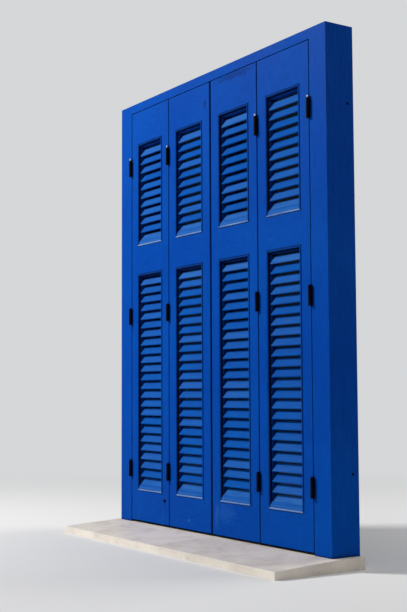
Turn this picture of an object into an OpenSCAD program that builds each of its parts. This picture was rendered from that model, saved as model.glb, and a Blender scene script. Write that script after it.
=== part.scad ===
// Window with folding louvred shutters, in its timber frame on a projecting stone sill.
// Millimetres. X = 0 is the middle of the window and +X is to the right seen from outside.
// Y = 0 is the shutters' front face, -Y is outside and +Y is the room. Z = 0 is the sill's underside.

/* [Outer frame] */
// Width of the outer frame over both jambs
frame_w = 1306; // [1080:1:1570]
// Height of the outer frame above the sill
frame_h = 1660; // [1380:1:2000]
// Width of a jamb's front face
jamb_w = 82; // [68:1:100]
// Height of the head's front face
head_h = 34; // [28:1:60]
// Width of the stop that the shutters and casements close against
stop_w = 14; // [10:1:20]
// Depth of the stop, front to back
stop_d = 24; // [20:1:40]
// Height of the bottom rail at the casements' seat
seat_h = 30; // [24:1:50]

/* [Stone sill] */
// Thickness of the slab under the frame
sill_t = 38; // [32:1:48]
// How far the slab's top falls from the frame to its front edge
sill_fall = 14; // [8:1:20]
// How far the slab runs in front of the frame
sill_front = 235; // [180:1:290]
// How far each end of the slab runs past the frame
sill_end = 25; // [0:1:60]

/* [Shutter leaves] */
// Thickness of a leaf
leaf_t = 36; // [32:1:46]
// Width of a stile
stile_w = 60; // [50:1:72]
// Height of the bottom rail
bottom_rail_h = 126; // [100:1:155]
// Height of the middle rail
mid_rail_h = 135; // [110:1:162]
// Height of the top rail
top_rail_h = 143; // [115:1:175]
// Height of the lower louvred opening
lower_open_h = 823; // [690:1:900]
// Gap between the leaves' feet and the sill
foot_gap = 9; // [5:1:14]
// Gap between the leaves' tops and the head
top_gap = 3; // [2:1:6]
// Width of a gap that holds a hinge
hinge_gap = 3; // [3:0.1:4]
// Gap between the two middle leaves
meeting_gap = 9; // [7:1:14]

/* [Louvres] */
// Distance from one slat to the next
slat_pitch = 34; // [29:1:41]
// Width of a slat's board
slat_board = 33; // [28:1:35]
// Thickness of a slat
slat_t = 7; // [6:0.5:8]
// Tilt of a slat from upright, in degrees
slat_tilt = 32; // [26:1:34]
// How far the slats' front edges lie behind the leaf's face
slat_inset = 4; // [3:0.5:6]
// Height of the lowest slat above its opening's foot
slat_foot = 6; // [4:1:10]

/* [Mouldings] */
// Width of the sunk ledge around a louvred opening
ledge_w = 5; // [3:0.5:6]
// Depth of the sunk ledge
ledge_d = 6; // [4:0.5:8]
// Distance from an opening to the outside of its groove
groove_out = 13; // [11:0.5:16]
// Width of the groove
groove_w = 2; // [1.5:0.1:3]
// Depth of the groove
groove_d = 2; // [1:0.1:3]
// Chamfer along a leaf's upright front edges
leaf_arris = 2; // [1:0.1:3]

/* [Casements] */
// Thickness of a casement
casement_t = 48; // [42:1:60]
// Width of a casement's stile
casement_stile_w = 54; // [48:1:66]
// Height of a casement's top rail
casement_top_h = 60; // [50:1:80]
// Height of a casement's bottom rail
casement_foot_h = 86; // [70:1:110]
// Gap between the two casements
casement_meeting_gap = 6; // [5:1:9]
// Thickness of the glass
glass_t = 4; // [4:0.5:6]
// Width of the rebate that holds the glass
rebate_w = 12; // [10:1:15]
// Depth of the wood in front of the glass
glass_inset = 16; // [13:1:20]

/* [Hinges] */
// Length of a hinge
hinge_h = 62; // [51:1:80]
// Radius of a hinge's knuckles
knuckle_r = 6; // [5:0.5:7]
// Radius of a hinge's pin
hinge_pin_r = 2.5; // [2:0.1:3]
// Height of the lowest hinge's middle above the leaf's foot
hinge_low = 197; // [150:1:240]
// Depth of the top hinge's middle below the leaf's top
hinge_high = 223; // [170:1:270]
// Width of a hinge's plate on the wood
plate_w = 24; // [20:1:28]
// Thickness of a hinge's plate
plate_t = 1.2; // [1:0.1:1.3]

/* [Cremone and drop bolt] */
// Radius of a cremone rod
rod_r = 5; // [4:0.5:6]
// Travel of a cremone rod
rod_travel = 14; // [11:1:17]
// Length of the cremone's handle
handle_l = 110; // [90:1:130]
// Height of the cremone's handle above the sill
handle_z = 772; // [640:1:900]
// Radius of the drop bolt in the third leaf
bolt_r = 4.5; // [4:0.5:5]
// Length of the drop bolt
bolt_l = 150; // [125:1:180]
// Travel of the drop bolt
bolt_travel = 20; // [17:1:24]

/* [Fixings] */
// Radius of a fixing hole through a jamb
fixing_r = 4.5; // [3.5:0.5:6]
// Distance of the fixing holes from the frame's ends
fixing_inset = 250; // [200:1:300]

/* [Hidden] */

// Colours
paint = "#0344a7";
paint_light = "#2464b6";
marble = "#cdc6bf";
iron = "#1b1f2c";
brass = "#a88a4a";
glazing = [0.12, 0.15, 0.16, 0.6];

// Clearances
back_gap = 2;                  // between the shutters' backs and the stop
casement_gap = 1;              // between the stop and the casements' faces
casement_foot_gap = 3;         // under and over a casement
joint_play = 0.2;              // round a tenon in its mortise
fit_play = 0.06;               // round a pin, rod or bolt in its bore
free_play = 0.3;               // between pieces that turn past each other
eps = 1;                       // how far a cutter runs past the wood it cuts

// Frame
clear_w = frame_w - 2 * jamb_w;
stop_front = leaf_t + back_gap;
stop_back = stop_front + stop_d;
casement_front = stop_back + casement_gap;
frame_d = casement_front + casement_t;
frame_foot = sill_t;
frame_top = frame_foot + frame_h;
head_foot = frame_top - head_h;
seat_top = frame_foot + seat_h;
stop_foot = seat_top + stop_w;
tenon_l = 36;
tenon_t = 12;
tenon_shoulder = 8;

// Shutter leaves
leaf_w = (clear_w - 4 * hinge_gap - meeting_gap) / 4;
leaf_foot = frame_foot + foot_gap;
leaf_top = head_foot - top_gap;
lower_foot = leaf_foot + bottom_rail_h;
lower_top = lower_foot + lower_open_h;
upper_foot = lower_top + mid_rail_h;
upper_top = leaf_top - top_rail_h;
open_w = leaf_w - 2 * stile_w;

// Louvres
slat_rise = slat_board * cos(slat_tilt) + slat_t * sin(slat_tilt);
nose_r = slat_t / 2;
nose_steps = 8;

// Hinges
axis_out = knuckle_r + free_play + 0.2;
plate_start = knuckle_r + free_play;
pin_head_r = 4.4;
pin_head_h = 3.5;
knuckle_top = hinge_h / 2 + free_play;
round_fn = 48;

// Casements
casement_w = (clear_w - 2 * hinge_gap - casement_meeting_gap) / 2;
casement_foot = seat_top + casement_foot_gap;
casement_top = head_foot - casement_foot_gap;
pane_w = casement_w - 2 * casement_stile_w;
pane_foot = casement_foot + casement_foot_h;
pane_top = casement_top - casement_top_h;
glass_front = casement_front + glass_inset;
glass_back = glass_front + glass_t;
glass_edge_gap = 2;

// Cremone, on the right casement's meeting stile, and the drop bolt in the third leaf
rod_x = casement_meeting_gap / 2 + casement_stile_w / 2;
rod_y = frame_d + rod_r + 3;
case_w = 34;
case_h = 92;
case_d = 20;
rod_end_gap = 2;
handle_level = frame_foot + handle_z;
keep_h = 24;
guide_h = 18;
guide_w = 26;
spindle_r = 7;
grip_r = 7;
rod_inner = spindle_r + rod_travel + 4;
bolt_x = meeting_gap / 2 + 16;
bolt_y = leaf_t / 2;
bolt_foot = leaf_foot + 1;
bolt_knob_z = bolt_foot + bolt_l - 20;
knob_r = 3;
knob_out = 7;

// A box between two corners
module block(low, high) {
  translate(low) cube(high - low);
}

// Extrudes its plan outline between two heights
module linear_extrude_between(low, high) {
  translate([0, 0, low]) linear_extrude(high - low) children();
}

// Draws its children on the right side, as the mirror image of the left side
module on_right() {
  mirror([1, 0, 0]) children();
}

// A tenon that leaves a rail along X: its root is at x, and way is -1 or 1
module tenon(x, way, y, z0, z1, play = 0) {
  start = way > 0 ? x - (play > 0 ? eps : 0) : x - tenon_l - play;
  end = way > 0 ? x + tenon_l + play : x + (play > 0 ? eps : 0);
  block([start, y - tenon_t / 2 - play, z0 + tenon_shoulder - play],
        [end, y + tenon_t / 2 + play, z1 - tenon_shoulder + play]);
}

// ---- Stone sill ----
module stone_sill() {
  half = frame_w / 2 + sill_end;
  color(marble) difference() {
    translate([-half, 0, 0]) rotate([90, 0, 90]) linear_extrude(2 * half)
      polygon([[-sill_front, 0], [frame_d, 0], [frame_d, sill_t], [0, sill_t],
               [-sill_front, sill_t - sill_fall]]);
    translate([bolt_x, bolt_y, sill_t - bolt_travel])
      cylinder(r = bolt_r + 4 * free_play, h = bolt_travel + eps, $fn = round_fn);
  }
}

// ---- Outer frame ----
module left_jamb() {
  outer = -frame_w / 2;
  face = -clear_w / 2;
  difference() {
    linear_extrude_between(frame_foot, frame_top)
      polygon([[outer, 0], [face, 0], [face, frame_d], [outer, frame_d]]);
    tenon(face, -1, frame_d / 2, frame_foot, seat_top, joint_play);
    tenon(face, -1, frame_d / 2, head_foot, frame_top, joint_play);
    for (z = [frame_foot + fixing_inset, frame_top - fixing_inset])
      translate([outer - eps, (casement_front + frame_d) / 2, z])
        rotate([0, 90, 0]) cylinder(r = fixing_r, h = jamb_w + 2 * eps, $fn = round_fn);
  }
  block([face, stop_front, stop_foot], [face + stop_w, stop_back, head_foot]);
}

module frame_left_jamb() {
  color(paint) union() left_jamb();
}

module frame_right_jamb() {
  color(paint) union() on_right() left_jamb();
}

module frame_head() {
  half = clear_w / 2;
  color(paint) union() {
    block([-half, 0, head_foot], [half, frame_d, frame_top]);
    block([-half + stop_w, stop_front, head_foot - stop_w], [half - stop_w, stop_back, head_foot]);
    tenon(-half, -1, frame_d / 2, head_foot, frame_top);
    tenon(half, 1, frame_d / 2, head_foot, frame_top);
  }
}

module frame_bottom_rail() {
  half = clear_w / 2;
  color(paint) union() {
    block([-half, stop_front, frame_foot], [half, frame_d, seat_top]);
    block([-half, stop_front, seat_top], [half, stop_back, stop_foot]);
    tenon(-half, -1, frame_d / 2, frame_foot, seat_top);
    tenon(half, 1, frame_d / 2, frame_foot, seat_top);
  }
}

// ---- Shutter leaves ----
// A leaf is drawn with its hinge edge at X = 0 and then put in its place in the window.
module place_leaf(number) {
  outer_x = -clear_w / 2 + hinge_gap;
  inner_x = outer_x + leaf_w + hinge_gap;
  if (number == 1) translate([outer_x, 0, 0]) children();
  if (number == 2) translate([inner_x, 0, 0]) children();
  if (number == 3) on_right() translate([inner_x, 0, 0]) children();
  if (number == 4) on_right() translate([outer_x, 0, 0]) children();
}

// The sunk ledge and the groove around a louvred opening
module moulding_cut(z0, z1) {
  x0 = stile_w;
  x1 = leaf_w - stile_w;
  inner = groove_out - groove_w;
  block([x0 - ledge_w, -eps, z0 - ledge_w], [x1 + ledge_w, ledge_d, z1 + ledge_w]);
  difference() {
    block([x0 - groove_out, -eps, z0 - groove_out], [x1 + groove_out, groove_d, z1 + groove_out]);
    block([x0 - inner, -2 * eps, z0 - inner], [x1 + inner, groove_d + eps, z1 + inner]);
  }
}

module leaf_mouldings() {
  moulding_cut(lower_foot, lower_top);
  moulding_cut(upper_foot, upper_top);
}

module leaf_mortises(x, way) {
  tenon(x, way, leaf_t / 2, leaf_foot, lower_foot, joint_play);
  tenon(x, way, leaf_t / 2, lower_top, upper_foot, joint_play);
  tenon(x, way, leaf_t / 2, upper_top, leaf_top, joint_play);
}

// Plan outline of a stile whose outside edges carry an arris
module stile_outline(x0, x1, left_arris, right_arris) {
  polygon([
    [x0, left_arris], [x0 + left_arris, 0],
    [x1 - right_arris, 0], [x1, right_arris],
    [x1, leaf_t], [x0, leaf_t]
  ]);
}

module hinge_side_stile() {
  difference() {
    linear_extrude_between(leaf_foot, leaf_top) stile_outline(0, stile_w, leaf_arris, 0);
    leaf_mouldings();
    leaf_mortises(stile_w, -1);
  }
}

module far_side_stile() {
  difference() {
    linear_extrude_between(leaf_foot, leaf_top)
      stile_outline(leaf_w - stile_w, leaf_w, 0, leaf_arris);
    leaf_mouldings();
    leaf_mortises(leaf_w - stile_w, 1);
  }
}

module leaf_rail(z0, z1) {
  x0 = stile_w;
  x1 = leaf_w - stile_w;
  difference() {
    union() {
      block([x0, 0, z0], [x1, leaf_t, z1]);
      tenon(x0, -1, leaf_t / 2, z0, z1);
      tenon(x1, 1, leaf_t / 2, z0, z1);
    }
    leaf_mouldings();
  }
}

// Section of a slat: its nose is round, at the origin, and its board rises away from it
module slat_section() {
  polygon(concat(
    [for (i = [0 : nose_steps]) let (a = 180 + 180 * i / nose_steps)
      [nose_r + nose_r * cos(a), nose_r + nose_r * sin(a)]],
    [[slat_t, slat_board - 1], [slat_t - 1, slat_board], [1, slat_board], [0, slat_board - 1]]
  ));
}

// One slat along X. The turns stand the section in the YZ plane and lean its top towards the room.
module slat(z) {
  translate([stile_w, slat_inset, z])
    rotate([-slat_tilt, 0, 0])
      rotate([90, 0, 90]) linear_extrude(open_w) slat_section();
}

module slat_column(z0, z1) {
  count = floor((z1 - z0 - slat_foot - slat_rise) / slat_pitch) + 1;
  for (i = [0 : count - 1]) slat(z0 + slat_foot + nose_r + i * slat_pitch);
}

// The bore that the drop bolt slides in, and the slot for its knob
module bolt_way() {
  translate([bolt_x, bolt_y, leaf_foot - eps])
    cylinder(r = bolt_r + fit_play, h = bolt_foot + bolt_l - leaf_foot + 2 * eps, $fn = round_fn);
  block([bolt_x - knob_r - free_play, bolt_y, bolt_knob_z - bolt_travel - knob_r - eps],
        [bolt_x + knob_r + free_play, leaf_t + eps, bolt_knob_z + knob_r + eps]);
}

module shutter_stile_near(number) {
  color(paint) place_leaf(number) hinge_side_stile();
}

module shutter_stile_far(number) {
  color(paint) place_leaf(number) far_side_stile();
}

module shutter_3_far_stile() {
  color(paint) difference() {
    place_leaf(3) far_side_stile();
    bolt_way();
  }
}

module shutter_top_rail(number) {
  color(paint) place_leaf(number) leaf_rail(upper_top, leaf_top);
}

module shutter_middle_rail(number) {
  color(paint) place_leaf(number) leaf_rail(lower_top, upper_foot);
}

module shutter_bottom_rail(number) {
  color(paint) place_leaf(number) leaf_rail(leaf_foot, lower_foot);
}

module shutter_slats(number) {
  color(paint_light) place_leaf(number) {
    slat_column(lower_foot, lower_top);
    slat_column(upper_foot, upper_top);
  }
}

// ---- Hinges ----
// A hinge stands on its own axis. The fixed half is the lower knuckle with the pin, and its plate
// lies on the wood at -X. The flap is the upper knuckle, and its plate lies on the wood at +X.
module hinge_plate(side, knuckle_low, knuckle_high) {
  inner = hinge_gap / 2 - plate_t;
  outer = hinge_gap / 2;
  xs = side < 0 ? [-outer, -inner] : [inner, outer];
  block([xs[0], plate_start, 0], [xs[1], axis_out + plate_w, hinge_h]);
  block([xs[0], 0, knuckle_low], [xs[1], plate_start, knuckle_high]);
}

module hinge_fixed_half() {
  difference() {
    union() {
      cylinder(r = knuckle_r, h = hinge_h / 2, $fn = round_fn);
      hinge_plate(-1, 0, hinge_h / 2);
    }
    translate([0, 0, hinge_h / 2 - eps]) cylinder(r = hinge_pin_r, h = 2 * eps, $fn = round_fn);
  }
  translate([0, 0, hinge_h / 2 - eps])
    cylinder(r = hinge_pin_r, h = hinge_h / 2 + eps + 2 * free_play, $fn = round_fn);
  translate([0, 0, hinge_h + free_play]) cylinder(r = pin_head_r, h = pin_head_h, $fn = round_fn);
}

module hinge_flap_half() {
  difference() {
    union() {
      translate([0, 0, knuckle_top]) cylinder(r = knuckle_r, h = hinge_h - knuckle_top, $fn = round_fn);
      hinge_plate(1, knuckle_top, hinge_h);
    }
    translate([0, 0, knuckle_top - eps])
      cylinder(r = hinge_pin_r + fit_play, h = hinge_h - knuckle_top + 2 * eps, $fn = round_fn);
  }
}

// Three hinges on one line, between a leaf's foot and top
module hinge_line(x, y, foot, top) {
  low = foot + hinge_low;
  high = top - hinge_high;
  for (z = [low, (low + high) / 2, high]) translate([x, y, z - hinge_h / 2]) children();
}

jamb_axis_x = -clear_w / 2 + hinge_gap / 2;
fold_axis_x = jamb_axis_x + leaf_w + hinge_gap;

module shutter_hinges(x) {
  color(iron) hinge_line(x, -axis_out, leaf_foot, leaf_top) children();
}

module casement_hinges() {
  color(iron) hinge_line(jamb_axis_x, frame_d + axis_out, casement_foot, casement_top)
    mirror([0, 1, 0]) children();
}

// ---- Casements ----
// Each is drawn as the left one, with its hinge edge at the left jamb.
casement_x = -clear_w / 2 + hinge_gap;
pane_x = casement_x + casement_stile_w;

module glazing_rebate() {
  block([pane_x - rebate_w, glass_front, pane_foot - rebate_w],
        [pane_x + pane_w + rebate_w, frame_d + eps, pane_top + rebate_w]);
}

module casement_mortises(x, way) {
  tenon(x, way, casement_front + tenon_shoulder, casement_foot, pane_foot - rebate_w, joint_play);
  tenon(x, way, casement_front + tenon_shoulder, pane_top + rebate_w, casement_top, joint_play);
}

module casement_stile(x, way) {
  near = way < 0 ? x + casement_stile_w : x;
  color(paint) difference() {
    block([x, casement_front, casement_foot], [x + casement_stile_w, frame_d, casement_top]);
    glazing_rebate();
    casement_mortises(near, way);
  }
}

module casement_rail(z0, z1, tenon_low, tenon_high) {
  color(paint) difference() {
    union() {
      block([pane_x, casement_front, z0], [pane_x + pane_w, frame_d, z1]);
      tenon(pane_x, -1, casement_front + tenon_shoulder, tenon_low, tenon_high);
      tenon(pane_x + pane_w, 1, casement_front + tenon_shoulder, tenon_low, tenon_high);
    }
    glazing_rebate();
  }
}

module casement_hinge_stile() {
  casement_stile(casement_x, -1);
}

module casement_meeting_stile() {
  casement_stile(casement_x + casement_w - casement_stile_w, 1);
}

module casement_top_rail() {
  casement_rail(pane_top, casement_top, pane_top + rebate_w, casement_top);
}

module casement_bottom_rail() {
  casement_rail(casement_foot, pane_foot, casement_foot, pane_foot - rebate_w);
}

module casement_glass() {
  grow = rebate_w - glass_edge_gap;
  color(glazing) block([pane_x - grow, glass_front, pane_foot - grow],
                       [pane_x + pane_w + grow, glass_back, pane_top + grow]);
}

// Four sticks that hold the glass from the room: the uprights stand between the level ones
module casement_glazing_beads() {
  x0 = pane_x - rebate_w;
  x1 = pane_x + pane_w + rebate_w;
  z0 = pane_foot - rebate_w;
  z1 = pane_top + rebate_w;
  low = pane_foot + joint_play;
  high = pane_top - joint_play;
  color(paint) {
    block([x0, glass_back, z0], [x1, frame_d, pane_foot]);
    block([x0, glass_back, pane_top], [x1, frame_d, z1]);
    block([x0, glass_back, low], [pane_x, frame_d, high]);
    block([x1 - rebate_w, glass_back, low], [x1, frame_d, high]);
  }
}

// ---- Cremone bolt ----
module rod_bore() {
  translate([rod_x, rod_y, casement_foot])
    cylinder(r = rod_r + fit_play, h = casement_top - casement_foot, $fn = round_fn);
}

module rod_guide(z) {
  block([rod_x - guide_w / 2, frame_d, z], [rod_x + guide_w / 2, rod_y + rod_r + 3, z + guide_h]);
}

module cremone_case() {
  color(brass) difference() {
    union() {
      block([rod_x - case_w / 2, frame_d, handle_level - case_h / 2],
            [rod_x + case_w / 2, frame_d + case_d, handle_level + case_h / 2]);
      rod_guide(casement_foot + 60);
      rod_guide((casement_foot + handle_level) / 2);
      rod_guide((casement_top + handle_level) / 2);
      rod_guide(casement_top - 60 - guide_h);
    }
    rod_bore();
    translate([rod_x, frame_d - eps, handle_level]) rotate([-90, 0, 0])
      cylinder(r = spindle_r + fit_play, h = case_d + 2 * eps, $fn = round_fn);
  }
}

// The spindle fills its hole in the case, and the lever lies level in front of it
module cremone_handle() {
  neck = frame_d + case_d;
  color(brass) union() {
    translate([rod_x, frame_d + free_play, handle_level]) rotate([-90, 0, 0])
      cylinder(r = spindle_r, h = case_d + 22, $fn = round_fn);
    translate([rod_x, neck + 22, handle_level]) rotate([0, 90, 0])
      cylinder(r = grip_r - 1, h = handle_l, $fn = round_fn);
    translate([rod_x + handle_l, neck + 22, handle_level]) sphere(r = grip_r + 1, $fn = round_fn);
  }
}

module cremone_upper_rod() {
  color(brass) translate([rod_x, rod_y, handle_level + rod_inner])
    cylinder(r = rod_r, h = casement_top - rod_end_gap - handle_level - rod_inner, $fn = round_fn);
}

module cremone_lower_rod() {
  color(brass) translate([rod_x, rod_y, casement_foot + rod_end_gap])
    cylinder(r = rod_r, h = handle_level - rod_inner - casement_foot - rod_end_gap, $fn = round_fn);
}

module keep(z) {
  difference() {
    block([rod_x - guide_w / 2, frame_d, z], [rod_x + guide_w / 2, rod_y + rod_r + 4, z + keep_h]);
    translate([rod_x, rod_y, z - eps])
      cylinder(r = rod_r + free_play, h = keep_h + 2 * eps, $fn = round_fn);
  }
}

module cremone_keeps() {
  color(brass) {
    keep(head_foot + 1);
    keep(seat_top - 1 - keep_h);
  }
}

// ---- Drop bolt ----
module shutter_drop_bolt() {
  color(iron) union() {
    translate([bolt_x, bolt_y, bolt_foot]) cylinder(r = bolt_r, h = bolt_l, $fn = round_fn);
    translate([bolt_x, bolt_y, bolt_knob_z]) rotate([-90, 0, 0])
      cylinder(r = knob_r, h = leaf_t / 2 + knob_out, $fn = round_fn);
  }
}

// ---- The whole window ----
stone_sill();
frame_left_jamb();
frame_right_jamb();
frame_head();
frame_bottom_rail();

shutter_stile_near(1);  // shutter_1_outer_stile
shutter_stile_far(1);  // shutter_1_inner_stile
shutter_top_rail(1);  // shutter_1_top_rail
shutter_middle_rail(1);  // shutter_1_middle_rail
shutter_bottom_rail(1);  // shutter_1_bottom_rail
shutter_slats(1);  // shutter_1_slats

shutter_stile_near(2);  // shutter_2_outer_stile
shutter_stile_far(2);  // shutter_2_inner_stile
shutter_top_rail(2);  // shutter_2_top_rail
shutter_middle_rail(2);  // shutter_2_middle_rail
shutter_bottom_rail(2);  // shutter_2_bottom_rail
shutter_slats(2);  // shutter_2_slats

shutter_stile_near(3);  // shutter_3_outer_stile
shutter_3_far_stile();  // shutter_3_inner_stile
shutter_top_rail(3);  // shutter_3_top_rail
shutter_middle_rail(3);  // shutter_3_middle_rail
shutter_bottom_rail(3);  // shutter_3_bottom_rail
shutter_slats(3);  // shutter_3_slats

shutter_stile_near(4);  // shutter_4_outer_stile
shutter_stile_far(4);  // shutter_4_inner_stile
shutter_top_rail(4);  // shutter_4_top_rail
shutter_middle_rail(4);  // shutter_4_middle_rail
shutter_bottom_rail(4);  // shutter_4_bottom_rail
shutter_slats(4);  // shutter_4_slats

shutter_hinges(jamb_axis_x) hinge_fixed_half();  // left_jamb_hinge_pins
shutter_hinges(jamb_axis_x) hinge_flap_half();  // left_jamb_hinge_flaps
shutter_hinges(fold_axis_x) hinge_fixed_half();  // left_fold_hinge_pins
shutter_hinges(fold_axis_x) hinge_flap_half();  // left_fold_hinge_flaps
on_right() shutter_hinges(jamb_axis_x) hinge_fixed_half();  // right_jamb_hinge_pins
on_right() shutter_hinges(jamb_axis_x) hinge_flap_half();  // right_jamb_hinge_flaps
on_right() shutter_hinges(fold_axis_x) hinge_fixed_half();  // right_fold_hinge_pins
on_right() shutter_hinges(fold_axis_x) hinge_flap_half();  // right_fold_hinge_flaps

casement_hinge_stile();  // left_casement_hinge_stile
casement_meeting_stile();  // left_casement_meeting_stile
casement_top_rail();  // left_casement_top_rail
casement_bottom_rail();  // left_casement_bottom_rail
casement_glass();  // left_casement_glass
casement_glazing_beads();  // left_casement_glazing_beads

on_right() casement_hinge_stile();  // right_casement_hinge_stile
on_right() casement_meeting_stile();  // right_casement_meeting_stile
on_right() casement_top_rail();  // right_casement_top_rail
on_right() casement_bottom_rail();  // right_casement_bottom_rail
on_right() casement_glass();  // right_casement_glass
on_right() casement_glazing_beads();  // right_casement_glazing_beads

casement_hinges() hinge_fixed_half();  // left_casement_hinge_pins
casement_hinges() hinge_flap_half();  // left_casement_hinge_flaps
on_right() casement_hinges() hinge_fixed_half();  // right_casement_hinge_pins
on_right() casement_hinges() hinge_flap_half();  // right_casement_hinge_flaps

cremone_case();
cremone_handle();
cremone_upper_rod();
cremone_lower_rod();
cremone_keeps();
shutter_drop_bolt();
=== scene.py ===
# %% [markdown]
# # A blue window with folding louvred shutters
#
# The construction of this window is already made: every board, hinge and rod has its true size and
# place. This lesson gives it the looks of the real one: oil paint brushed over softwood, a slab of
# marble, old iron hinges and brass fittings. It also adds the small things that a joiner and a
# painter leave behind, such as the mouldings round the louvres and slats that are not quite equal.
# Work is in metres, X to the right, Y towards the room and Z up.

# %% Load the construction
import math

import bmesh
import bpy
from mathutils import Matrix, Vector


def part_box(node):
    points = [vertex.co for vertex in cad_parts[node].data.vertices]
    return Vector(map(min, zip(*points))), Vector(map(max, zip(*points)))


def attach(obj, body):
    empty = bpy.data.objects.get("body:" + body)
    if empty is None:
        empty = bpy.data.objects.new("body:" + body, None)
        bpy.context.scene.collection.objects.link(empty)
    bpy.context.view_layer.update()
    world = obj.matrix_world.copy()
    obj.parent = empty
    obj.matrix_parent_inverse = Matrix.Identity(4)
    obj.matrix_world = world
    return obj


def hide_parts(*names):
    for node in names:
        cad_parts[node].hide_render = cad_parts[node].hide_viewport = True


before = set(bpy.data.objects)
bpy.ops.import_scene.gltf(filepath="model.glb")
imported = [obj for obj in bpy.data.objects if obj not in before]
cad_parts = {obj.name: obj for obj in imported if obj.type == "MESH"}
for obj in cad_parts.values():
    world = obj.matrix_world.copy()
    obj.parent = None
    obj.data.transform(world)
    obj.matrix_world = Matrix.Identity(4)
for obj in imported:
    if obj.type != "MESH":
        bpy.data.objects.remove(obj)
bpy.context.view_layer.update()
MM = 0.001

# %% [markdown]
# ## The camera
#
# A window is mostly seen from the street, from one side and from a little below its middle. The
# camera stands to the right, about four metres away, so the shutters recede towards the left. It
# could be aimed with a tracking constraint, but three plain turns are easier to read and to change.

# %% Place the camera
EYE = Vector((3.274, -2.177, 0.541))
HEADING, RISE, LEAN = (math.radians(angle) for angle in (56.76, 4.46, -0.26))

camera = bpy.data.objects.new("camera", bpy.data.cameras.new("camera"))
camera.data.lens = 65.14
camera.data.sensor_width = 36
aim = Matrix.Rotation(HEADING, 4, "Z") @ Matrix.Rotation(math.pi / 2 + RISE, 4, "X")
camera.matrix_world = Matrix.Translation(EYE) @ aim @ Matrix.Rotation(LEAN, 4, "Z")
bpy.context.scene.collection.objects.link(camera)
bpy.context.scene.camera = camera
print("camera", round((EYE - Vector((0, 0, 0.85))).length, 2), "m from the window")

# %% [markdown]
# ## Floor and light
#
# The studio is plain: a pale floor, a pale sky and large soft lamps. The main lamp is high on the
# left, in front of the window, so the slats are bright and shade each other, and the left side of
# each louvred opening stays dark. Weaker lamps fill from the right and show the room side. The sky
# gives little light, so shadows keep their depth, but it looks pale where it is seen.

# %% Build the studio
def soft_lamp(name, place, aim_at, size, watts):
    lamp = bpy.data.objects.new(name, bpy.data.lights.new(name, "AREA"))
    lamp.data.size = size
    lamp.data.energy = watts
    lamp.location = place
    lamp.rotation_euler = (Vector(aim_at) - Vector(place)).to_track_quat("-Z", "Y").to_euler()
    bpy.context.scene.collection.objects.link(lamp)


MIDDLE = (0, 0, 0.85)
soft_lamp("main_lamp", (-3.0, -3.4, 4.0), MIDDLE, 1.0, 370)
soft_lamp("fill_lamp", (4.2, -2.6, 1.8), MIDDLE, 3.0, 12)
soft_lamp("room_lamp", (1.0, 3.8, 2.6), MIDDLE, 2.5, 110)

SEEN_SKY_COLOUR, SEEN_SKY_STRENGTH = (0.86, 0.87, 0.88, 1), 0.78
LIT_SKY_COLOUR, LIT_SKY_STRENGTH = (0.86, 0.88, 0.92, 1), 0.29

sky = bpy.data.worlds.new("pale_sky")
sky.use_nodes = True
sky_nodes, sky_links = sky.node_tree.nodes, sky.node_tree.links
lit_sky = sky_nodes["Background"]
lit_sky.inputs["Color"].default_value = LIT_SKY_COLOUR
lit_sky.inputs["Strength"].default_value = LIT_SKY_STRENGTH
seen_sky = sky_nodes.new("ShaderNodeBackground")
seen_sky.inputs["Color"].default_value = SEEN_SKY_COLOUR
seen_sky.inputs["Strength"].default_value = SEEN_SKY_STRENGTH
either_sky = sky_nodes.new("ShaderNodeMixShader")
seen_directly = sky_nodes.new("ShaderNodeLightPath").outputs["Is Camera Ray"]
sky_links.new(seen_directly, either_sky.inputs["Fac"])
sky_links.new(lit_sky.outputs[0], either_sky.inputs[1])
sky_links.new(seen_sky.outputs[0], either_sky.inputs[2])
sky_links.new(either_sky.outputs[0], sky_nodes["World Output"].inputs["Surface"])
bpy.context.scene.world = sky
bpy.context.scene.view_settings.view_transform = "Standard"
print("studio:", len(bpy.data.lights), "lamps")

# %% [markdown]
# ## A short way to write materials
#
# A material is a tree of nodes. Written out, each node takes many lines, so one helper adds a node,
# sets its options and its inputs, and links the inputs that are given as sockets. The other helpers
# are the few steps that every finish here repeats: a noise, a blend of two colours, a smooth step
# from one range to another, and an oval spot.

# %% Helpers for node trees
def put(tree, kind, inputs=None, **options):
    made = tree.nodes.new(kind)
    for key, value in options.items():
        setattr(made, key, value)
    for key, value in (inputs or {}).items():
        if isinstance(value, bpy.types.NodeSocket):
            tree.links.new(value, made.inputs[key])
        else:
            made.inputs[key].default_value = value
    return made


def colour(red, green, blue):
    """A paint maker's 0 to 255 values, as the linear values that shaders use."""
    return tuple(((c / 255 + 0.055) / 1.055) ** 2.4 for c in (red, green, blue)) + (1,)


def noise(tree, where, scale, detail=3.0, roughness=0.55):
    inputs = {"Vector": where, "Scale": scale, "Detail": detail, "Roughness": roughness}
    return put(tree, "ShaderNodeTexNoise", inputs).outputs["Fac"]


def ramp(tree, value, start, stop, low=0.0, high=1.0):
    inputs = {"Value": value, "From Min": start, "From Max": stop, "To Min": low, "To Max": high}
    made = put(tree, "ShaderNodeMapRange", inputs, interpolation_type="SMOOTHSTEP")
    return made.outputs["Result"]


def maths(tree, operation, first, second):
    return put(tree, "ShaderNodeMath", {0: first, 1: second}, operation=operation).outputs[0]


def blend(tree, amount, below, above):
    inputs = {"Factor": amount, "A": below, "B": above}
    made = put(tree, "ShaderNodeMix", data_type="RGBA")
    sockets = {s.name: s for s in made.inputs if s.type == "RGBA"}
    sockets["Factor"] = made.inputs[0]
    for key, value in inputs.items():
        if isinstance(value, bpy.types.NodeSocket):
            tree.links.new(value, sockets[key])
        else:
            sockets[key].default_value = value
    return next(s for s in made.outputs if s.type == "RGBA")


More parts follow.
